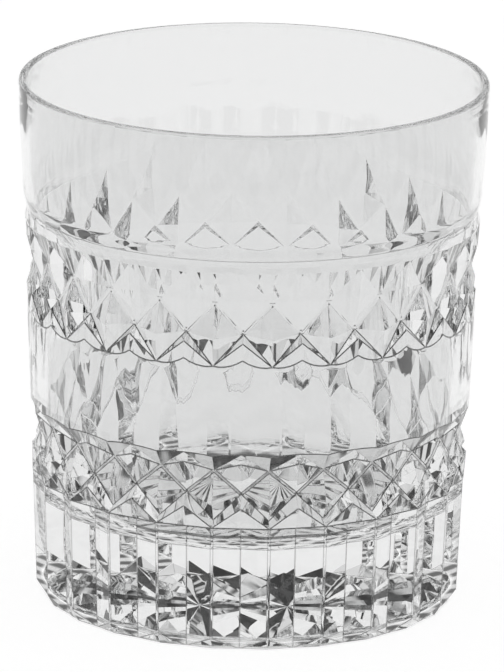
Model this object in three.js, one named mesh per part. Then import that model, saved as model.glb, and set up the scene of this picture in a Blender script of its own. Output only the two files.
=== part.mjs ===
// Whiskey tumbler, a cut-crystal old-fashioned glass, in one piece of clear glass.
//
// Lengths are millimetres and +Z is up. The origin is on the axis, in the plane the foot
// stands on, and -Y is the front. The outside carries 24 equal cut columns, 15 degrees apart:
// a "crest" column runs down the crest of each flute, and a "furrow" column down the bottom
// between two crests. Every facet of the cutting is a flat panel between a crest column and
// the furrow column next to it, so two outlines and the seams between them hold it all.

import * as THREE from 'three';
import { mergeVertices } from 'three/addons/utils/BufferGeometryUtils.js';

// Overall size
const HEIGHT = 95;
const RIM_RADIUS = 42;
const FOOT_RADIUS = 36.95;
const CUT_COLUMNS = 24;

// Lip: a full round edge
const LIP_HALF_THICKNESS = 0.7;
const LIP_ROUND_STEPS = 6;

// Plain rim band, then a hollow step and a narrow collar over the upper cutting
const RIM_BAND_FOOT = { radius: 41.14, height: 75.2 };
const STEP_TOP = { radius: 41.0, height: 74.2 };
const STEP_MIDDLE = { radius: 40.62, height: 73.0 };
const STEP_FOOT = { radius: 40.33, height: 71.9 };
const COLLAR_FOOT = { radius: 40.75, height: 69.75 };

// Upper diamond band, with a mitred ribbon under it
const UPPER_GROOVE_RADIUS = 38.6;
const UPPER_CREST_NODE_HEIGHT = 64.1;
const UPPER_FURROW_NODE_HEIGHT = 58.45;
const UPPER_HIGH_POINT = { radius: 40.4, height: 65.0 };
const UPPER_LOW_POINT = { radius: 40.4, height: 57.8 };
const UPPER_RIBBON_POINT = { radius: 40.2, height: 57.1 };
const UPPER_CREST_END = { radius: 39.95, height: 52.8 };
const UPPER_FURROW_END = { radius: 40.15, height: 54.0 };

// Plain waist between the two bands
const WAIST_TOP = { radius: 40.1, height: 51.8 };
const WAIST_CREST_FOOT = { radius: 39.5, height: 36.2 };
const WAIST_FURROW_FOOT = { radius: 39.5, height: 36.6 };

// Lower diamond band, with a mitred ribbon under it
const LOWER_GROOVE_RADIUS = 37.25;
const LOWER_CREST_NODE_HEIGHT = 33.0;
const LOWER_FURROW_NODE_HEIGHT = 28.8;
const LOWER_HIGH_POINT = { radius: 39.3, height: 34.8 };
const LOWER_LOW_POINT = { radius: 39.15, height: 27.0 };
const RIBBON_CREST_NODE = { radius: 37.6, height: 24.0 };
const RIBBON_CREST_FOOT = { radius: 39.1, height: 22.9 };
const RIBBON_FURROW_FOOT = { radius: 39.15, height: 26.6 };

// Flutes and the ground foot
const FLUTE_FURROW_TOP = { radius: 37.2, height: 22.4 };
const FLUTE_CREST_FOOT = { radius: 38.3, height: 2.2 };
const FLUTE_FURROW_FOOT_RADIUS = 36.4;

// Inside: a tapered wall that turns through a round corner into a flat floor
const INNER_LIP = { radius: 40.55, height: 94.3 };
const INNER_SHOULDER = { radius: 39.55, height: 76 };
const INNER_UPPER = { radius: 37.75, height: 60 };
const INNER_WAIST = { radius: 36.7, height: 42 };
const FLOOR_HEIGHT = 17.6;
const FLOOR_CORNER_RADIUS = 4.5;
const INNER_WALL_FOOT_RADIUS = 36;
const FLOOR_CORNER_STEPS = 6;
const INNER_WALL_STEPS = 8;

// Underside: a flat standing ring round a star of V grooves, one under each furrow column
const STANDING_RING_INNER_RADIUS = 30.2;
const STAR_EDGE = { radius: 29.6, height: 0.9 };
const STAR_RIDGE_END = { radius: 29.0, height: 0.7 };
const STAR_GROOVE_END = { radius: 26.6, height: 2.4 };
const STAR_CENTRE_HEIGHT = 0.9;

const point = ({ radius, height }) => new THREE.Vector2(radius, height);

// Outer half of the round lip, from its crown down to the outside of the rim band.
function outerLip() {
  const centreRadius = RIM_RADIUS - LIP_HALF_THICKNESS;
  const centreHeight = HEIGHT - LIP_HALF_THICKNESS;
  const steps = LIP_ROUND_STEPS / 2;
  return Array.from({ length: steps + 1 }, (_, i) => {
    const turn = (i / steps) * (Math.PI / 2);
    return new THREE.Vector2(
      centreRadius + LIP_HALF_THICKNESS * Math.sin(turn),
      centreHeight + LIP_HALF_THICKNESS * Math.cos(turn),
    );
  });
}

// The plain stretch that both outlines share, from the crown of the lip to the collar's foot.
const sharedTop = [
  ...outerLip(),
  point(RIM_BAND_FOOT),
  point(STEP_TOP),
  point(STEP_MIDDLE),
  point(STEP_FOOT),
  point(COLLAR_FOOT),
];

// Outline down a crest column.
const crestCuts = {
  upperNode: new THREE.Vector2(UPPER_GROOVE_RADIUS, UPPER_CREST_NODE_HEIGHT),
  upperLowPoint: point(UPPER_LOW_POINT),
  upperEnd: point(UPPER_CREST_END),
  waistTop: point(WAIST_TOP),
  waistFoot: point(WAIST_CREST_FOOT),
  lowerNode: new THREE.Vector2(LOWER_GROOVE_RADIUS, LOWER_CREST_NODE_HEIGHT),
  lowerLowPoint: point(LOWER_LOW_POINT),
  ribbonNode: point(RIBBON_CREST_NODE),
  ribbonFoot: point(RIBBON_CREST_FOOT),
  fluteFoot: point(FLUTE_CREST_FOOT),
  foot: new THREE.Vector2(FOOT_RADIUS, 0),
};

// Outline down a furrow column.
const furrowCuts = {
  upperHighPoint: point(UPPER_HIGH_POINT),
  upperNode: new THREE.Vector2(UPPER_GROOVE_RADIUS, UPPER_FURROW_NODE_HEIGHT),
  upperRibbon: point(UPPER_RIBBON_POINT),
  upperEnd: point(UPPER_FURROW_END),
  waistTop: point(WAIST_TOP),
  waistFoot: point(WAIST_FURROW_FOOT),
  lowerHighPoint: point(LOWER_HIGH_POINT),
  lowerNode: new THREE.Vector2(LOWER_GROOVE_RADIUS, LOWER_FURROW_NODE_HEIGHT),
  ribbonFoot: point(RIBBON_FURROW_FOOT),
  fluteTop: point(FLUTE_FURROW_TOP),
  foot: new THREE.Vector2(FLUTE_FURROW_FOOT_RADIUS, 0),
};

// Each seam joins a point of the crest outline to a point of the furrow outline. A facet lies
// between one seam and the next, so the seams are the grooves, arrises and edges of the cutting.
const cutSeams = [
  ['upperNode', 'collar'],
  ['upperNode', 'upperHighPoint'],
  ['upperNode', 'upperNode'],
  ['upperLowPoint', 'upperNode'],
  ['upperEnd', 'upperNode'],
  ['upperEnd', 'upperRibbon'],
  ['upperEnd', 'upperEnd'],
  ['waistTop', 'upperEnd'],
  ['waistTop', 'waistTop'],
  ['waistFoot', 'waistTop'],
  ['waistFoot', 'waistFoot'],
  ['lowerNode', 'waistFoot'],
  ['lowerNode', 'lowerHighPoint'],
  ['lowerNode', 'lowerNode'],
  ['lowerLowPoint', 'lowerNode'],
  ['ribbonNode', 'lowerNode'],
  ['ribbonFoot', 'lowerNode'],
  ['ribbonFoot', 'ribbonFoot'],
  ['ribbonFoot', 'fluteTop'],
  ['fluteFoot', 'fluteTop'],
  ['fluteFoot', 'foot'],
  ['foot', 'foot'],
];

// Inside of the glass, from the crown of the lip down to the middle of the floor.
function insideOutline() {
  const lipCentre = new THREE.Vector2(RIM_RADIUS - LIP_HALF_THICKNESS, HEIGHT - LIP_HALF_THICKNESS);
  const lipSteps = LIP_ROUND_STEPS / 2;
  const lip = Array.from({ length: lipSteps - 1 }, (_, i) => {
    const turn = ((i + 1) / lipSteps) * (Math.PI / 2);
    const offset = new THREE.Vector2(-Math.sin(turn), Math.cos(turn));
    return lipCentre.clone().addScaledVector(offset, LIP_HALF_THICKNESS);
  });
  const cornerTop = new THREE.Vector2(INNER_WALL_FOOT_RADIUS, FLOOR_HEIGHT + FLOOR_CORNER_RADIUS);
  const wall = new THREE.SplineCurve([
    point(INNER_LIP),
    point(INNER_SHOULDER),
    point(INNER_UPPER),
    point(INNER_WAIST),
    cornerTop,
  ]).getPoints(INNER_WALL_STEPS);
  const cornerCentre = new THREE.Vector2(INNER_WALL_FOOT_RADIUS - FLOOR_CORNER_RADIUS, cornerTop.y);
  const corner = Array.from({ length: FLOOR_CORNER_STEPS }, (_, i) => {
    const turn = ((i + 1) / FLOOR_CORNER_STEPS) * (Math.PI / 2);
    const offset = new THREE.Vector2(Math.cos(turn), -Math.sin(turn));
    return cornerCentre.clone().addScaledVector(offset, FLOOR_CORNER_RADIUS);
  });
  return [...lip, ...wall, ...corner];
}

// Collects triangles, with every corner given as a Vector3.
class Skin {
  constructor() {
    this.corners = [];
  }

  triangle(a, b, c) {
    this.corners.push(...a.toArray(), ...b.toArray(), ...c.toArray());
  }

  quad(a, b, c, d) {
    this.triangle(a, b, c);
    this.triangle(a, c, d);
  }

  geometry() {
    const loose = new THREE.BufferGeometry();
    loose.setAttribute('position', new THREE.Float32BufferAttribute(this.corners, 3));
    const WELD_DISTANCE = 1e-4;
    return mergeVertices(loose, WELD_DISTANCE);
  }
}

const HALF_COLUMNS = 2 * CUT_COLUMNS;

// Places an outline point on a half-column line, counted from the front towards +X.
function place(outlinePoint, line) {
  const angle = ((line % HALF_COLUMNS) / HALF_COLUMNS) * 2 * Math.PI;
  return new THREE.Vector3(
    outlinePoint.x * Math.sin(angle),
    -outlinePoint.x * Math.cos(angle),
    outlinePoint.y,
  );
}

// One strip of facets between a crest line and the furrow line beside it.
function addCutStrip(skin, crestLine, furrowLine) {
  const collar = sharedTop[sharedTop.length - 1];
  const crest = { collar, ...crestCuts };
  const furrow = { collar, ...furrowCuts };
  const furrowIsRight = furrowLine > crestLine;
  const face = (a, b, c) => (furrowIsRight ? skin.triangle(a, b, c) : skin.triangle(a, c, b));
  let [lastCrest, lastFurrow] = ['collar', 'collar'];
  for (const [nextCrest, nextFurrow] of cutSeams) {
    const upperCrest = place(crest[lastCrest], crestLine);
    const upperFurrow = place(furrow[lastFurrow], furrowLine);
    if (nextCrest !== lastCrest) {
      face(upperCrest, place(crest[nextCrest], crestLine), upperFurrow);
    }
    if (nextFurrow !== lastFurrow) {
      face(place(crest[nextCrest], crestLine), place(furrow[nextFurrow], furrowLine), upperFurrow);
    }
    [lastCrest, lastFurrow] = [nextCrest, nextFurrow];
  }
}

// A plain turned stretch between two neighbouring lines, from the outline's start to its end.
function addTurnedStrip(skin, outline, line) {
  for (let i = 0; i + 1 < outline.length; i += 1) {
    skin.quad(
      place(outline[i], line),
      place(outline[i + 1], line),
      place(outline[i + 1], line + 1),
      place(outline[i], line + 1),
    );
  }
}

// Half a column of the underside: the standing ring, its bevel and one side of a star groove.
function addUnderside(skin, line) {
  const onCrest = line % 2 === 0;
  const footRadii = [FOOT_RADIUS, FLUTE_FURROW_FOOT_RADIUS];
  const starEnds = [point(STAR_RIDGE_END), point(STAR_GROOVE_END)];
  const [foot, nextFoot] = onCrest ? footRadii : footRadii.reverse();
  const [starEnd, nextStarEnd] = onCrest ? starEnds : starEnds.reverse();
  const ringInner = new THREE.Vector2(STANDING_RING_INNER_RADIUS, 0);
  const outline = [new THREE.Vector2(foot, 0), ringInner, point(STAR_EDGE), starEnd];
  const nextOutline = [new THREE.Vector2(nextFoot, 0), ringInner, point(STAR_EDGE), nextStarEnd];
  for (let i = 0; i + 1 < outline.length; i += 1) {
    skin.quad(
      place(outline[i], line),
      place(outline[i + 1], line),
      place(nextOutline[i + 1], line + 1),
      place(nextOutline[i], line + 1),
    );
  }
  const centre = new THREE.Vector3(0, 0, STAR_CENTRE_HEIGHT);
  skin.triangle(place(starEnd, line), centre, place(nextStarEnd, line + 1));
}

function tumblerGeometry() {
  const skin = new Skin();
  const crown = sharedTop[0];
  const inside = [crown, ...insideOutline()].reverse();
  for (let line = 0; line < HALF_COLUMNS; line += 1) {
    const crestFirst = line % 2 === 0;
    addTurnedStrip(skin, sharedTop, line);
    addCutStrip(skin, crestFirst ? line : line + 1, crestFirst ? line + 1 : line);
    addUnderside(skin, line);
    addTurnedStrip(skin, inside, line);
    skin.triangle(
      new THREE.Vector3(0, 0, FLOOR_HEIGHT),
      place(inside[0], line),
      place(inside[0], line + 1),
    );
  }
  return skin.geometry();
}

const crystal = new THREE.MeshStandardMaterial({
  name: 'crystal',
  color: 0xeef1f2,
  roughness: 0.04,
  metalness: 0,
  transparent: true,
  opacity: 0.35,
});

const glassBody = new THREE.Mesh(tumblerGeometry(), crystal);
glassBody.name = 'glass_body';

const whiskeyTumbler = new THREE.Group();
whiskeyTumbler.name = 'whiskey_tumbler';
whiskeyTumbler.add(glassBody);

export default whiskeyTumbler;
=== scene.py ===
# %% [markdown]
# # A cut-crystal whiskey tumbler
# The real glass is one piece of clear glass. Its inside is smooth, and its outside is cut
# with two bands of diamonds and a skirt of upright flutes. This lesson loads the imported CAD
# model as a fixed frame, builds a finer glass in exactly the same space, gives it a clear
# finish, and stands it on glowing paper under a patterned sky.

# %% Load the frame
import math

import bmesh
import bpy
from mathutils import Matrix, Vector


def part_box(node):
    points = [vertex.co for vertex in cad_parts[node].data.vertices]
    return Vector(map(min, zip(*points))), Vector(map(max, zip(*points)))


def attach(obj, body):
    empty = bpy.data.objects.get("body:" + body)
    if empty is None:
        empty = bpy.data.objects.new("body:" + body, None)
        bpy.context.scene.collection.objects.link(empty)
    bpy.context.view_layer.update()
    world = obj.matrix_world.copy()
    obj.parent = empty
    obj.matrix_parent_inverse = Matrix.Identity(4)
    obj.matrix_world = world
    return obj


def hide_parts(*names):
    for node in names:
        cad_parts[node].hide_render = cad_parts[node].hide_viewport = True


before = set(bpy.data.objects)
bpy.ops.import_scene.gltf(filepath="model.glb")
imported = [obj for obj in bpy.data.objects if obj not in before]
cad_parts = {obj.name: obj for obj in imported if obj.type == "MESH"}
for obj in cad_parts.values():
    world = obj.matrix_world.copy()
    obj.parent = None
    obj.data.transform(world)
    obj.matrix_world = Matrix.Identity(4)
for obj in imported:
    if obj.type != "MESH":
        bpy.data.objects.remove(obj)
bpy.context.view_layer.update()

lowest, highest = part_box("glass_body")
RIM_RADIUS = (highest.x - lowest.x) / 2
HEIGHT = highest.z
print(f"frame: rim radius {RIM_RADIUS:.4f} m, height {HEIGHT:.4f} m")

# %% [markdown]
# ## The camera
# A long lens from well back keeps the glass's sides nearly parallel, as in a catalogue
# picture. The camera looks down on the rim a little, and stands a few degrees to the left of
# the crest that faces the front. It leans by less than a degree, which tips the glass's top
# to the right. The camera is built from its own three axes, so that the lean is exact.

# %% Place the camera
VIEW_AZIMUTH = math.radians(-5.6)
VIEW_ELEVATION = math.radians(15.85)
VIEW_DISTANCE = 1.52
VIEW_LEAN = math.radians(0.82)
AIM = Vector((0.00025, 0.0, 0.0472))
LENS_MM = 302.3
SENSOR_HEIGHT_MM = 24.0
FARTHEST_SEEN = 20.0

forward = Vector((
    -math.sin(VIEW_AZIMUTH) * math.cos(VIEW_ELEVATION),
    math.cos(VIEW_AZIMUTH) * math.cos(VIEW_ELEVATION),
    -math.sin(VIEW_ELEVATION),
))
level_right = Vector((math.cos(VIEW_AZIMUTH), math.sin(VIEW_AZIMUTH), 0.0))
level_up = level_right.cross(forward)
right = level_right * math.cos(VIEW_LEAN) + level_up * math.sin(VIEW_LEAN)
up = level_up * math.cos(VIEW_LEAN) - level_right * math.sin(VIEW_LEAN)

camera_data = bpy.data.cameras.new("studio_camera")
camera_data.sensor_fit = "VERTICAL"
camera_data.sensor_height = SENSOR_HEIGHT_MM
camera_data.lens = LENS_MM
camera_data.clip_end = FARTHEST_SEEN
camera = bpy.data.objects.new("studio_camera", camera_data)
bpy.context.scene.collection.objects.link(camera)
camera.matrix_world = Matrix((
    (right.x, up.x, -forward.x, 0.0),
    (right.y, up.y, -forward.y, 0.0),
    (right.z, up.z, -forward.z, 0.0),
    (0.0, 0.0, 0.0, 1.0),
))
camera.location = AIM - forward * VIEW_DISTANCE
bpy.context.scene.camera = camera
print("camera at", tuple(round(value, 3) for value in camera.location))

# %% [markdown]
# ## Two outlines
# The cutting repeats 24 times round the glass. Down the middle of each flute's crest runs a
# crest line, and half a column further round, in the bottom between two flutes, a furrow
# line. Every facet lies between a crest line and the furrow line beside it, so the whole
# cut wall can be told by its radius at a few heights on these two lines. That is easier to
# check than 24 columns of loose facets.

# %% Outline the crest and furrow lines
MM = 0.001
CUT_COLUMNS = 24
HALF_COLUMNS = 2 * CUT_COLUMNS
LINE_ANGLE = 2 * math.pi / HALF_COLUMNS

STEP_FOOT = (40.33, 71.9)
COLLAR_FOOT = (40.75, 69.75)
WAIST_TOP = (40.1, 51.8)
WAIST_LINE = (39.55, 38.0)
WAIST_FOOT = (39.5, 36.6)
WAIST_CREST_FOOT = (39.5, 36.2)
WAIST_TAPER_END = (39.49, 36.6)
FOOT_HEIGHT = 0.0

crest = {
    "collar": COLLAR_FOOT,
    "upper_node": (38.6, 64.1),
    "upper_low": (40.4, 57.8),
    "upper_end": (39.95, 52.8),
    "waist_foot": WAIST_CREST_FOOT,
    "lower_node": (37.25, 33.0),
    "lower_low": (39.15, 27.0),
    "ribbon_node": (37.6, 24.0),
    "ribbon_foot": (39.1, 22.9),
    "flute_foot": (38.3, 2.2),
    "foot": (36.95, FOOT_HEIGHT),
}
furrow = {
    "collar": COLLAR_FOOT,
    "upper_high": (40.4, 65.0),
    "upper_node": (38.6, 58.45),
    "upper_ribbon": (40.2, 57.1),
    "upper_end": (40.15, 54.0),
    "waist_foot": WAIST_FOOT,
    "lower_high": (39.3, 34.8),
    "lower_node": (37.25, 28.8),
    "ribbon_foot": (39.15, 26.6),
    "flute_top": (37.2, 22.4),
    "foot": (36.4, FOOT_HEIGHT),
}
print("outline points:", len(crest), "on a crest,", len(furrow), "on a furrow")

# %% [markdown]
# ## Flat facets on a round wall
# The cut facets are flat, and where one runs out into the round wall the edge is a
# shallow arch. The arch is found by meeting the facet's plane with the turned wall, a cone
# whose radius changes evenly with height, at a few angles between crest and furrow.

# %% Find the arches where facets run out
ROUND_STEPS = 5


def in_space(radius, height, turn):
    """A point given by radius and height in millimetres, turn in half columns from the front."""
    angle = turn * LINE_ANGLE
    return Vector((radius * math.sin(angle), -radius * math.cos(angle), height)) * MM


def arch(facet, wall_start, wall_end):
    """Heights and radii where the facet's plane meets the cone from wall_start to wall_end."""
    a, b, c = facet
    normal = (b - a).cross(c - a)
    level = normal.dot(a) / MM
    taper = (wall_start[0] - wall_end[0]) / (wall_start[1] - wall_end[1])
    base = wall_start[0] - taper * wall_start[1]
    points = []
    for step in range(ROUND_STEPS + 1):
        angle = step / ROUND_STEPS * LINE_ANGLE
        reach = normal.x * math.sin(angle) - normal.y * math.cos(angle)
        height = (level - base * reach) / (taper * reach + normal.z)
        points.append((base + taper * height, height))
    return points


collar_arch = arch(
    (
        in_space(*crest["upper_node"], 0),
        in_space(*crest["collar"], 0),
        in_space(*furrow["collar"], 1),
    ),
    STEP_FOOT, COLLAR_FOOT,
)
upper_arch = arch(
    (
        in_space(*furrow["upper_ribbon"], 1),
        in_space(*crest["upper_end"], 0),
        in_space(*furrow["upper_end"], 1),
    ),
    furrow["upper_end"], crest["upper_end"],
)
lower_arch = arch(
    (
        in_space(*crest["lower_node"], 0),
        in_space(*crest["waist_foot"], 0),
        in_space(*furrow["waist_foot"], 1),
    ),
    WAIST_LINE, WAIST_TAPER_END,
)
for name, points in (("collar", collar_arch), ("upper", upper_arch), ("lower", lower_arch)):
    print(name, "arch heights:", [round(height, 2) for _, height in points])

# %% [markdown]
# ## Build the outside
# One half column is described once, as named points and facets, and laid round the glass 48
# times, turned over for every second one. Points on a shared line are shared, so the facets
# join without gaps.

# %% Lay the facets round the glass
FULL_TURN = HALF_COLUMNS * ROUND_STEPS
mesh = bmesh.new()
laid = {}


def vertex(name, turn, radius, height):
    """The vertex of that name at that turn, made the first time it is asked for."""
    key = (name, round(turn * ROUND_STEPS) % FULL_TURN)
    if key not in laid:
        laid[key] = mesh.verts.new(in_space(radius, height, turn))
    return laid[key]


def lay_face(corners, turned_over):
    return mesh.faces.new(reversed(corners) if turned_over else corners)


def arc_row(name, points, start, side):
    """A row of vertices from the crest line at start to the furrow line beside it."""
    return [
        vertex(name, start + side * step / ROUND_STEPS, *points[step])
        for step in range(ROUND_STEPS + 1)
    ]


def level_row(name, point, start, side):
    return arc_row(name, [point] * (ROUND_STEPS + 1), start, side)


def lay_between(upper, lower, turned_over):
    """Faces between two rows that have the same number of vertices."""
    for step in range(ROUND_STEPS):
        corners = [upper[step], lower[step], lower[step + 1], upper[step + 1]]
        lay_face(corners, turned_over)


def lay_cut_half(start, side):
    """All the cut facets between the crest line at start and the furrow line at that side."""
    over = side < 0

    def on_crest(name):
        return vertex("crest_" + name, start, *crest[name])

    def on_furrow(name):
        return vertex("furrow_" + name, start + side, *furrow[name])

    collar = arc_row("collar", collar_arch, start, side)
    upper_end = arc_row("upper_end", upper_arch, start, side)
    waist_top = level_row("waist_top", WAIST_TOP, start, side)
    waist_line = level_row("waist_line", WAIST_LINE, start, side)
    lower_top = arc_row("lower_top", lower_arch, start, side)
    facets = [
        [on_crest("upper_node"), *reversed(collar)],
        [on_crest("upper_node"), on_furrow("upper_high"), collar[-1]],
        [on_crest("upper_node"), on_furrow("upper_node"), on_furrow("upper_high")],
        [on_crest("upper_node"), on_crest("upper_low"), on_furrow("upper_node")],
        [on_crest("upper_low"), upper_end[0], on_furrow("upper_node")],
        [on_furrow("upper_node"), upper_end[0], on_furrow("upper_ribbon")],
        [on_furrow("upper_ribbon"), *upper_end],
        [on_crest("lower_node"), *reversed(lower_top)],
        [on_crest("lower_node"), on_furrow("lower_high"), lower_top[-1]],
        [on_crest("lower_node"), on_furrow("lower_node"), on_furrow("lower_high")],
        [on_crest("lower_node"), on_crest("lower_low"), on_furrow("lower_node")],
        [on_crest("lower_low"), on_crest("ribbon_node"), on_furrow("lower_node")],
        [
            on_crest("ribbon_node"), on_crest("ribbon_foot"),
            on_furrow("ribbon_foot"), on_furrow("lower_node"),
        ],
        [on_crest("ribbon_foot"), on_furrow("flute_top"), on_furrow("ribbon_foot")],
        [
            on_crest("ribbon_foot"), on_crest("flute_foot"),
            on_furrow("foot"), on_furrow("flute_top"),
        ],
        [on_crest("flute_foot"), on_crest("foot"), on_furrow("foot")],
    ]
    for corners in facets:
        lay_face(corners, over)
    lay_between(upper_end, waist_top, over)
    lay_between(waist_top, waist_line, over)
    lay_between(waist_line, lower_top, over)


for line in range(0, HALF_COLUMNS, 2):
    lay_cut_half(line, 1)
    lay_cut_half(line, -1)
print("cut wall:", len(mesh.verts), "vertices,", len(mesh.faces), "faces")

# %% [markdown]
# ## Turn the smooth parts
# The lip, the rim band, the step and the inside have no cutting. They are turned surfaces,
# as if made on a lathe: a short outline swept round the axis in 240 steps.
# The lip is a half circle, the step is a hollow curve, and the inner wall is a smooth
# spline that turns through a round corner into the floor.

# %% Turn the lip, the band and the inside
LIP_HALF = 0.7
LIP_STEPS = 8
CLEAR_FINISH, PAINTED_ARRIS_LINE, PAINTED_SOFT_LINE, CORNER_SHADOW = 0, 1, 2, 3
rim_mm = RIM_RADIUS / MM
height_mm = HEIGHT / MM


def ring(name, radius, height):
    """One round of vertices."""
    return [
        vertex(name, index / ROUND_STEPS, radius, height) for index in range(FULL_TURN)
    ]


def lay_rings(upper, lower):
    for index in range(FULL_TURN):
        after = (index + 1) % FULL_TURN
        mesh.faces.new([upper[index], lower[index], lower[after], upper[after]])


def mark_strip(upper, lower, finish):
    """Give the strip between two rings to one of the materials, each here a painted shade."""
    for first, second in zip(upper, lower):
        for face in set(first.link_faces) & set(second.link_faces):
            face.material_index = finish


def arc(centre, radius, start, end, steps):
    """Points on a circle; angles are measured from straight up, towards the outside."""
    points = []
    for step in range(steps + 1):
        angle = math.radians(start + (end - start) * step / steps)
        points.append((centre[0] + radius * math.sin(angle), centre[1] + radius * math.cos(angle)))
    return points


def smooth_line(knots, steps):
    """A Catmull-Rom curve through the knots, with steps pieces between each two."""
    padded = [knots[0], *knots, knots[-1]]
    points = []
    for index in range(len(knots) - 1):
        before, start, end, after = (Vector(knot) for knot in padded[index:index + 4])
        for step in range(steps):
            share = step / steps
            points.append(tuple(0.5 * (
                2 * start
                + (end - before) * share
                + (2 * before - 5 * start + 4 * end - after) * share ** 2
                + (3 * start - before - 3 * end + after) * share ** 3
            )))
    return [*points, tuple(knots[-1])]


FLOOR_HEIGHT = 17.6
CORNER = 4.5
CORNER_STEPS = 12
CORNER_SHADOWS = (2, 5, 9)
WALL_FOOT = (36.0, FLOOR_HEIGHT + CORNER)
INNER_WALL = [(40.55, 93.6), (39.55, 76), (37.75, 60), (36.7, 42), WALL_FOOT]
INNER_WALL_STEPS = 8
BAND_MIDDLE = (41.7, 86.0)
STEP_HOLLOW = [(41.14, 75.2), (41.0, 74.2), (40.62, 73.0), (40.4, 72.3)]
STEP_HOLLOW_STEPS = 4
STEP_LINE_TOP = (40.34, 72.06)

lip_centre = (rim_mm - LIP_HALF, height_mm - LIP_HALF)
corner_centre = (WALL_FOOT[0] - CORNER, WALL_FOOT[1])
inside_line = [
    *arc(lip_centre, LIP_HALF, 0, -90, LIP_STEPS),
    *smooth_line(INNER_WALL, INNER_WALL_STEPS)[1:],
    *arc(corner_centre, CORNER, 90, 180, CORNER_STEPS)[1:],
]
band_line = [
    *arc(lip_centre, LIP_HALF, 0, 90, LIP_STEPS),
    BAND_MIDDLE,
    *smooth_line(STEP_HOLLOW, STEP_HOLLOW_STEPS),
    STEP_LINE_TOP,
    STEP_FOOT,
]

band_rings = [ring(f"band_{index}", *point) for index, point in enumerate(band_line)]
for upper, lower in zip(band_rings, band_rings[1:]):
    lay_rings(upper, lower)
collar_ring = [laid[("collar", index)] for index in range(FULL_TURN)]
lay_rings(band_rings[-1], collar_ring)
# The strip at the foot of the step carries painted shade, a soft dark line.
mark_strip(band_rings[-2], band_rings[-1], PAINTED_SOFT_LINE)

inside_rings = [band_rings[0]]
for index, point in enumerate(inside_line[1:]):
    inside_rings.append(ring(f"inside_{index}", *point))
for upper, lower in zip(inside_rings, inside_rings[1:]):
    lay_rings(lower, upper)
corner_rings = inside_rings[-1 - CORNER_STEPS:]
# Three strips of the inner corner carry painted shadow.
for strip in CORNER_SHADOWS:
    mark_strip(corner_rings[strip], corner_rings[strip + 1], CORNER_SHADOW)
floor_centre = mesh.verts.new(Vector((0, 0, FLOOR_HEIGHT * MM)))
for index in range(FULL_TURN):
    after = (index + 1) % FULL_TURN
    mesh.faces.new([floor_centre, inside_rings[-1][index], inside_rings[-1][after]])

print("turned parts:", len(band_rings) + len(inside_rings), "rings of", FULL_TURN)

# %% [markdown]
# ## Cut the star
# The underside has a star: grooves that run from near the foot to the middle, with sharp
# ridges between them. The underside isn't in view, so the star's depth and its 24 rays are a
# guess. Its facets are flat shaded. A narrow strip on each side of every ridge and of every
# groove's bottom carries painted shade, for the star to show through the thick base as thin
# lines. Round the star is the flat ring that the glass stands on.

# %% Lay the standing ring and the star
RING_INNER_RADIUS = 30.2
STAR_EDGE = (29.6, 0.9)
STAR_CREST = (29.0, 0.7)
STAR_FURROW = (26.6, 2.4)
STAR_CENTRE_HEIGHT = 0.9
STAR_LINE_SHARE = 0.05
star_centre = mesh.verts.new(Vector((0, 0, STAR_CENTRE_HEIGHT * MM)))
star_facets = set()


def lay_star_half(start, side):
    """The standing ring and half a groove of the star, between a crest and a furrow line."""
    over = side < 0
    ring_inner = level_row("ring_inner", (RING_INNER_RADIUS, FOOT_HEIGHT), start, side)
    ring_bevel = level_row("ring_bevel", STAR_EDGE, start, side)
    crest_end = vertex("star_crest", start, *STAR_CREST)
    furrow_end = vertex("star_furrow", start + side, *STAR_FURROW)
    crest_line = mesh.verts.new(crest_end.co.lerp(furrow_end.co, STAR_LINE_SHARE))
    furrow_line = mesh.verts.new(furrow_end.co.lerp(crest_end.co, STAR_LINE_SHARE))
    foot_crest = laid[("crest_foot", start * ROUND_STEPS)]
    foot_furrow = laid[("furrow_foot", (start + side) * ROUND_STEPS % FULL_TURN)]
    lay_face([foot_crest, *ring_inner, foot_furrow], over)
    lay_between(ring_inner, ring_bevel, over)
    outer = [crest_end, crest_line, furrow_line, furrow_end, *reversed(ring_bevel)]
    star_facets.add(lay_face(outer, over))
    star_facets.add(lay_face([crest_line, star_centre, furrow_line], over))
    for first, second in ((crest_end, crest_line), (furrow_line, furrow_end)):
        strip = lay_face([first, star_centre, second], over)
        strip.material_index = CORNER_SHADOW
        star_facets.add(strip)


# Each half groove of the star gets two strips of painted shade, along its ridge and its bottom.
for line in range(0, HALF_COLUMNS, 2):
    lay_star_half(line, 1)
    lay_star_half(line, -1)
print("whole glass:", len(mesh.verts), "vertices,", len(mesh.faces), "faces")
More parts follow.
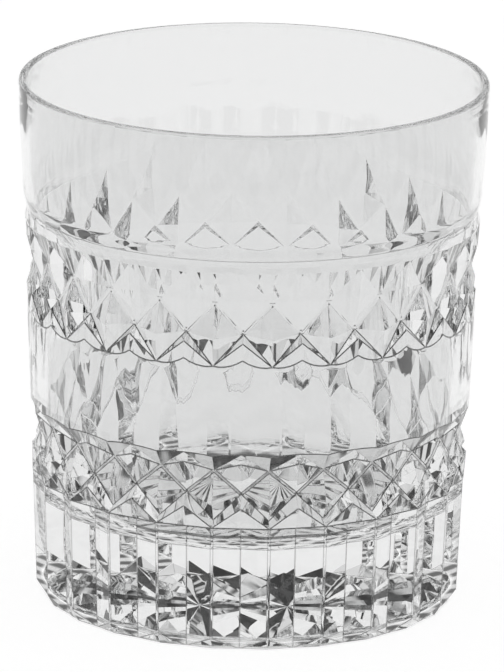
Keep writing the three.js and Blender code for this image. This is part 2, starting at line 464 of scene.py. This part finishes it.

# %% [markdown]
# ## Soften the arrises
# An arris is the edge where two cut facets meet. No arris on a polished glass is perfectly
# sharp, so each one here is a narrow strip. They could be modelled by hand, but a bevel does
# it for all of them at once. Each kind of edge has its own width: wide at a
# groove's bottom, and narrow at the ridge between two facets.

# %% Say how wide each arris is
GROOVE_WIDTH = 0.55
STRIP_WIDTH = 0.35
LINE_WIDTH = 0.13
RIDGE_WIDTH = 0.05
ARRISES = {
    GROOVE_WIDTH: ["crest upper_node, furrow upper_node"],
    STRIP_WIDTH: ["crest lower_node, furrow lower_node", "crest ribbon_foot, crest flute_foot"],
    LINE_WIDTH: [
        "crest upper_end, furrow upper_node",
        "crest upper_end, furrow upper_ribbon",
        "crest lower_node, furrow lower_high",
        "crest ribbon_node, furrow lower_node",
        "crest ribbon_foot, furrow ribbon_foot",
        "crest ribbon_foot, furrow flute_top",
        "furrow flute_top, furrow foot",
        "crest flute_foot, furrow foot",
        "crest foot, furrow foot",
    ],
    RIDGE_WIDTH: [
        "crest upper_node, crest collar",
        "crest upper_node, furrow collar",
        "crest upper_node, furrow upper_high",
        "crest upper_node, crest upper_low",
        "crest upper_low, furrow upper_node",
        "crest upper_low, crest upper_end",
        "furrow upper_node, furrow upper_ribbon",
        "furrow upper_ribbon, furrow upper_end",
        "furrow upper_high, furrow collar",
        "furrow upper_high, furrow upper_node",
        "crest lower_node, crest lower_top",
        "crest lower_node, furrow lower_top",
        "crest lower_node, crest lower_low",
        "crest lower_low, furrow lower_node",
        "crest lower_low, crest ribbon_node",
        "crest ribbon_node, crest ribbon_foot",
        "furrow lower_node, furrow ribbon_foot",
        "furrow lower_high, furrow lower_node",
        "furrow ribbon_foot, furrow flute_top",
        "crest flute_foot, crest foot",
    ],
}
ARCHES = {"collar": RIDGE_WIDTH, "upper_end": LINE_WIDTH, "lower_top": LINE_WIDTH}
print("named arrises:", sum(len(edges) for edges in ARRISES.values()), "and", len(ARCHES), "arches")

# %% Put the widths on the edges
weights = mesh.edges.layers.float.new("bevel_weight_edge")


def weigh(first, second, width):
    mesh.edges.get((first, second))[weights] = width / GROOVE_WIDTH


def corner(label, start, side):
    """The vertex called by a label such as "crest foot", in the half column at start."""
    column, name = label.split(" ")
    turn = start if column == "crest" else start + side
    key = name if name in ARCHES else f"{column}_{name}"
    return laid[(key, turn * ROUND_STEPS % FULL_TURN)]


def weigh_half(start, side):
    for width, edges in ARRISES.items():
        for labels in edges:
            first, second = labels.split(", ")
            weigh(corner(first, start, side), corner(second, start, side), width)


for line in range(0, HALF_COLUMNS, 2):
    weigh_half(line, 1)
    weigh_half(line, -1)
for name, width in ARCHES.items():
    for index in range(FULL_TURN):
        weigh(laid[(name, index)], laid[(name, (index + 1) % FULL_TURN)], width)
print("weighted edges:", sum(edge[weights] > 0 for edge in mesh.edges))

# %% [markdown]
# ## Apply the bevel
# The bevel is applied straight away, so that the mesh itself holds the softened shape.
# Hardened normals keep the shading of each flat facet flat right up to its border. The bevel
# also marks its own faces, so that some of them can carry painted shade as dark lines.

# %% Bevel the glass
BEVEL_SEGMENTS = 4
mesh.normal_update()
for face in mesh.faces:
    face.smooth = face not in star_facets
glass_mesh = bpy.data.meshes.new("crystal_tumbler")
for _ in (CLEAR_FINISH, PAINTED_ARRIS_LINE, PAINTED_SOFT_LINE, CORNER_SHADOW):
    glass_mesh.materials.append(None)
mesh.to_mesh(glass_mesh)
mesh.free()
tumbler = bpy.data.objects.new("crystal_tumbler", glass_mesh)
bpy.context.scene.collection.objects.link(tumbler)

bevel = tumbler.modifiers.new("polished_arrises", "BEVEL")
bevel.limit_method = "WEIGHT"
bevel.offset_type = "OFFSET"
bevel.width = GROOVE_WIDTH * MM
bevel.segments = BEVEL_SEGMENTS
bevel.profile = 0.5
bevel.use_clamp_overlap = True
bevel.harden_normals = True
bevel.material = PAINTED_ARRIS_LINE
bpy.context.view_layer.update()
evaluated = tumbler.evaluated_get(bpy.context.evaluated_depsgraph_get())
softened = bpy.data.meshes.new_from_object(evaluated)
tumbler.modifiers.remove(bevel)
tumbler.data = softened
print("softened glass:", len(softened.vertices), "vertices,", len(softened.polygons), "faces")

# %% [markdown]
# ## Which arris faces read as a line
# On cut glass the thin arrises read as dark lines. Here painted shade draws them, a dark tint
# on the bevel's faces that are neither very narrow nor very wide. The finest ridges and the
# middles of the wide grooves stay clear, and the thin arrises and the two borders of each strip
# are lines. The flutes' own lines get a fainter painted shade, since they read as fainter. The
# limits are chosen.

# %% Sort the arris faces
FINEST_LINE = 0.042
WIDEST_LINE = 0.2
WHOLE_LINE = 0.1
FLUTE_TOP = 21.5 * MM


def face_width(face):
    """A long face's width in millimetres."""
    ends = [[softened.vertices[end].co for end in key] for key in face.edge_keys]
    return face.area / max((a - b).length for a, b in ends) / MM


arris_faces = {face.index for face in softened.polygons if face.material_index == PAINTED_ARRIS_LINE}
beside_facet = set()
for face in softened.polygons:
    if face.index not in arris_faces:
        beside_facet.update(face.edge_keys)
line_faces = 0
# Line faces keep the painted arris shade, or the fainter painted shade below the flutes' top.
for index in arris_faces:
    face = softened.polygons[index]
    width = face_width(face)
    on_border = any(key in beside_facet for key in face.edge_keys)
    if FINEST_LINE < width < WHOLE_LINE or (on_border and WHOLE_LINE <= width < WIDEST_LINE):
        line_faces += 1
        if face.center.z < FLUTE_TOP:
            face.material_index = PAINTED_SOFT_LINE
    else:
        face.material_index = CLEAR_FINISH
print("faces that read as lines:", line_faces, "of", len(arris_faces))

# %% [markdown]
# ## The crystal
# The glass is colourless and well polished, so the roughness is none at all. Its refractive
# index isn't known, and 1.52 is that of ordinary clear glass. The clear tint takes more light
# than a clear glass this thin would: it was chosen so that the glass looks greyer than the
# white behind it. A noise texture through a bump node gives a very gentle ripple, which makes
# straight lines seen through the glass waver. The thin arrises, the fainter lines and the inner
# corner each carry painted shade, a darker mix of the same glass.

# %% Mix the crystal
CLEAR_TINT = (0.835, 0.838, 0.838, 1.0)
PAINTED_ARRIS_SHADE = (0.03, 0.03, 0.03, 1.0)
PAINTED_SOFT_SHADE = (0.3, 0.3, 0.3, 1.0)
PAINTED_CORNER_SHADE = (0.05, 0.05, 0.05, 1.0)
CRYSTAL_IOR = 1.52
RIPPLES_PER_METRE = 110.0
RIPPLE_DEPTH = 0.00006
RIPPLE_DETAIL = 1.0


def mix_crystal(name, tint):
    """A clear polished glass of the given tint, with a very gentle ripple."""
    material = bpy.data.materials.new(name)
    material.use_nodes = True
    nodes, links = material.node_tree.nodes, material.node_tree.links
    shader = nodes["Principled BSDF"]
    shader.inputs["Base Color"].default_value = tint
    shader.inputs["Transmission Weight"].default_value = 1.0
    shader.inputs["IOR"].default_value = CRYSTAL_IOR
    shader.inputs["Roughness"].default_value = 0.0
    place = nodes.new("ShaderNodeTexCoord")
    ripple = nodes.new("ShaderNodeTexNoise")
    ripple.inputs["Scale"].default_value = RIPPLES_PER_METRE
    ripple.inputs["Detail"].default_value = RIPPLE_DETAIL
    bump = nodes.new("ShaderNodeBump")
    bump.inputs["Distance"].default_value = RIPPLE_DEPTH
    links.new(place.outputs["Object"], ripple.inputs["Vector"])
    links.new(ripple.outputs["Fac"], bump.inputs["Height"])
    links.new(bump.outputs["Normal"], shader.inputs["Normal"])
    return material


crystal = mix_crystal("clear_crystal", CLEAR_TINT)
# The three darker mixes are painted shade: dark tints that draw the lines.
arris = mix_crystal("arris_painted_shade", PAINTED_ARRIS_SHADE)
soft_painted_line = mix_crystal("soft_painted_line", PAINTED_SOFT_SHADE)
corner_shadow = mix_crystal("corner_shadow", PAINTED_CORNER_SHADE)
print("finishes:", crystal.name, arris.name, soft_painted_line.name, corner_shadow.name)

# %% [markdown]
# Each painted shade is dark on one side of the face only. Real glass has no such tint: the
# painted shade is a device for drawing the lines. The arris and the soft line are dark to a ray
# that comes from the air and clear to one in the glass, so that the far wall's lines stay faint.
# The inner corner and the star's strips are dark only to a ray in the glass, because with both
# sides dark they drew wavy lines across the waist. The Backfacing output of the Geometry node
# tells the two sides apart.

# %% Tell the two sides of a face apart


def tint_by_side(material, outer, inner):
    """The outer tint for light that comes from the air, the inner for light in the glass."""
    nodes, links = material.node_tree.nodes, material.node_tree.links
    geometry = nodes.new("ShaderNodeNewGeometry")
    sides = nodes.new("ShaderNodeMix")
    sides.data_type = "RGBA"
    sides.inputs["A"].default_value = outer
    sides.inputs["B"].default_value = inner
    links.new(geometry.outputs["Backfacing"], sides.inputs["Factor"])
    links.new(sides.outputs["Result"], nodes["Principled BSDF"].inputs["Base Color"])


tint_by_side(arris, PAINTED_ARRIS_SHADE, CLEAR_TINT)
tint_by_side(soft_painted_line, PAINTED_SOFT_SHADE, CLEAR_TINT)
tint_by_side(corner_shadow, CLEAR_TINT, PAINTED_CORNER_SHADE)
softened.materials[CLEAR_FINISH] = crystal
softened.materials[PAINTED_ARRIS_LINE] = arris
softened.materials[PAINTED_SOFT_LINE] = soft_painted_line
softened.materials[CORNER_SHADOW] = corner_shadow
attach(tumbler, "root")
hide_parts("glass_body")
print("crystal on", len(softened.polygons), "faces")

# %% [markdown]
# ## The floor
# The glass stands on a sheet of white paper. Most of the paper's brightness is a glow of its
# own, which keeps the sheet even and the shadow round the foot faint. A ring of painted shade
# darkens it under the foot, by lowering the glow there. It is neither a real mark nor a
# computed shadow: it is there for the thick base to mirror as dark lines. It is broken into 24
# soft patches, so that it doesn't look like a solid band from above. The paper has a fine grain.

# %% Lay the paper
FLOOR_HALF = 3.0
PAPER_GREY = (0.35, 0.35, 0.35, 1.0)
PAPER_GLOW = 0.87
PAPER_ROUGHNESS = 0.8
GLOW_WHITE = (1.0, 1.0, 1.0, 1.0)
PAINTED_SHADE_FROM, PAINTED_SHADE_TO = 0.0308, 0.0362
PAINTED_SHADE_EDGE = 0.001
LEAST_SHADE = 0.4
FLUTE_SHADE = 0.5
FLUTE_SHADE_EDGE = 0.7
GRAINS_PER_METRE = 1400.0
GRAIN_STRENGTH = 0.05
GRAIN_DEPTH = 0.0002

floor_mesh = bpy.data.meshes.new("floor")
floor_corners = [
    (x * FLOOR_HALF, y * FLOOR_HALF, 0.0) for x, y in ((-1, -1), (1, -1), (1, 1), (-1, 1))
]
floor_mesh.from_pydata(floor_corners, [], [(0, 1, 2, 3)])
floor = bpy.data.objects.new("floor", floor_mesh)
bpy.context.scene.collection.objects.link(floor)

paper = bpy.data.materials.new("floor_paper")
paper.use_nodes = True
nodes, links = paper.node_tree.nodes, paper.node_tree.links


def calc(operation, *values):
    """A Math node's output; each value is a number or another node's output."""
    node = nodes.new("ShaderNodeMath")
    node.operation = operation
    for socket, value in zip(node.inputs, values):
        if isinstance(value, (int, float)):
            socket.default_value = value
        else:
            links.new(value, socket)
    return node.outputs[0]


def rise(value, middle, softness):
    """0 below the middle and 1 above it, with a soft step between."""
    node = nodes.new("ShaderNodeMapRange")
    node.interpolation_type = "SMOOTHSTEP"
    node.inputs["From Min"].default_value = middle - softness
    node.inputs["From Max"].default_value = middle + softness
    links.new(value, node.inputs["Value"])
    return node.outputs[0]


def band(value, start, end, softness):
    """1 between start and end, and 0 outside."""
    fall = calc("SUBTRACT", 1.0, rise(value, end, softness))
    return calc("MULTIPLY", rise(value, start, softness), fall)


paper_place = nodes.new("ShaderNodeTexCoord").outputs["Object"]
reach = nodes.new("ShaderNodeVectorMath")
reach.operation = "LENGTH"
links.new(paper_place, reach.inputs[0])
# The ring under the foot is painted shade: it lowers the paper's glow there, most under each crest.
ring_shape = band(reach.outputs["Value"], PAINTED_SHADE_FROM, PAINTED_SHADE_TO, PAINTED_SHADE_EDGE)
sideways = nodes.new("ShaderNodeSeparateXYZ")
links.new(paper_place, sideways.inputs[0])
around = calc("ARCTAN2", sideways.outputs["X"], sideways.outputs["Y"])
crest_wave = calc("COSINE", calc("MULTIPLY", around, float(CUT_COLUMNS)))
under_crest = rise(crest_wave, 0.0, FLUTE_SHADE_EDGE)
flute_shade = calc("MULTIPLY_ADD", under_crest, FLUTE_SHADE, LEAST_SHADE)
painted_ring_shade = calc("MULTIPLY", ring_shape, flute_shade)
glow = calc("MULTIPLY", calc("SUBTRACT", 1.0, painted_ring_shade), PAPER_GLOW)
grain = nodes.new("ShaderNodeTexNoise")
grain.inputs["Scale"].default_value = GRAINS_PER_METRE
grain_bump = nodes.new("ShaderNodeBump")
grain_bump.inputs["Strength"].default_value = GRAIN_STRENGTH
grain_bump.inputs["Distance"].default_value = GRAIN_DEPTH
links.new(paper_place, grain.inputs["Vector"])
links.new(grain.outputs["Fac"], grain_bump.inputs["Height"])

paper_shader = nodes["Principled BSDF"]
paper_shader.inputs["Base Color"].default_value = PAPER_GREY
paper_shader.inputs["Roughness"].default_value = PAPER_ROUGHNESS
paper_shader.inputs["Emission Color"].default_value = GLOW_WHITE
links.new(glow, paper_shader.inputs["Emission Strength"])
links.new(grain_bump.outputs["Normal"], paper_shader.inputs["Normal"])
floor_mesh.materials.append(paper)
print("paper:", 2 * FLOOR_HALF, "m square")

# %% [markdown]
# ## The light
# Cut glass needs something dark to draw with, so the light is a patterned sky: white at the
# horizon and overhead, with a dark ring in between for the thick base to pick up. Thin light
# stripes cross the ring, so that the bars it draws are thin and many. Low on the horizon a
# few dark patches fall on single facets. They come from adding waves of different counts
# round the horizon: where the waves add up, it is dark. No real room is copied. The heights,
# counts and phases were found by trial, from how the glass looked under them.

# %% Paint the sky
SKY_STRENGTH = 0.8
SOFT_EDGE = 0.012
PATCH_EDGE = 0.07
SKY_DARK = 0.997
ROOM_FROM, ROOM_TO = 0.14, 0.82
ROOM_WAVES = ((5, 1.4), (9, 0.3), (13, 2.0))
ROOM_THRESHOLD = -2.4
STRIPES = 70.0
STRIPE_TILT_WAVES = 6.0
STRIPE_TILT = 1.2
STRIPE_THRESHOLD = -0.8
STRIPE_EDGE = 0.25
LOW_FROM, LOW_TO = -0.02, 0.09
LOW_WAVES = ((9, 1.4), (16, 2.1), (23, 1.0))
LOW_THRESHOLD = -0.2

world = bpy.data.worlds.new("white_studio")
world.use_nodes = True
nodes, links = world.node_tree.nodes, world.node_tree.links
background = nodes["Background"]


def patches(heading, waves, threshold):
    """1 where waves round the horizon add up to more than the threshold."""
    total = 0.0
    for count, phase in waves:
        wave = calc("SINE", calc("MULTIPLY_ADD", heading, float(count), phase))
        total = calc("ADD", wave, total)
    return rise(total, threshold, PATCH_EDGE)


sky_place = nodes.new("ShaderNodeTexCoord")
split = nodes.new("ShaderNodeSeparateXYZ")
links.new(sky_place.outputs["Generated"], split.inputs[0])
east, north, upward = split.outputs
heading = calc("ARCTAN2", east, north)

tilt = calc("MULTIPLY", calc("SINE", calc("MULTIPLY", heading, STRIPE_TILT_WAVES)), STRIPE_TILT)
stripe_wave = calc("SINE", calc("MULTIPLY_ADD", upward, STRIPES, tilt))
stripes = rise(stripe_wave, STRIPE_THRESHOLD, STRIPE_EDGE)
room_ring = band(upward, ROOM_FROM, ROOM_TO, SOFT_EDGE)
room = calc("MULTIPLY", room_ring, patches(heading, ROOM_WAVES, ROOM_THRESHOLD))
low_ring = band(upward, LOW_FROM, LOW_TO, SOFT_EDGE)
low = calc("MULTIPLY", low_ring, patches(heading, LOW_WAVES, LOW_THRESHOLD))
room_light = calc("SUBTRACT", 1.0, calc("MULTIPLY", calc("MULTIPLY", room, stripes), SKY_DARK))
low_light = calc("SUBTRACT", 1.0, calc("MULTIPLY", low, SKY_DARK))
links.new(calc("MULTIPLY", room_light, low_light), background.inputs["Color"])
background.inputs["Strength"].default_value = SKY_STRENGTH
bpy.context.scene.world = world
print("sky: dark ring from", ROOM_FROM, "to", ROOM_TO, "of the way up")

# %% [markdown]
# ## Let the light through
# A ray may cross a cut glass many times before it leaves, so the renderer has to follow it a
# long way. Colours are shown just as they are computed, so that white paper stays white.

# %% Allow enough bounces
GLASS_BOUNCES = 24
scene = bpy.context.scene
scene.view_settings.view_transform = "Standard"
scene.cycles.max_bounces = GLASS_BOUNCES
scene.cycles.transmission_bounces = GLASS_BOUNCES
scene.cycles.glossy_bounces = GLASS_BOUNCES
print("bounces:", GLASS_BOUNCES)
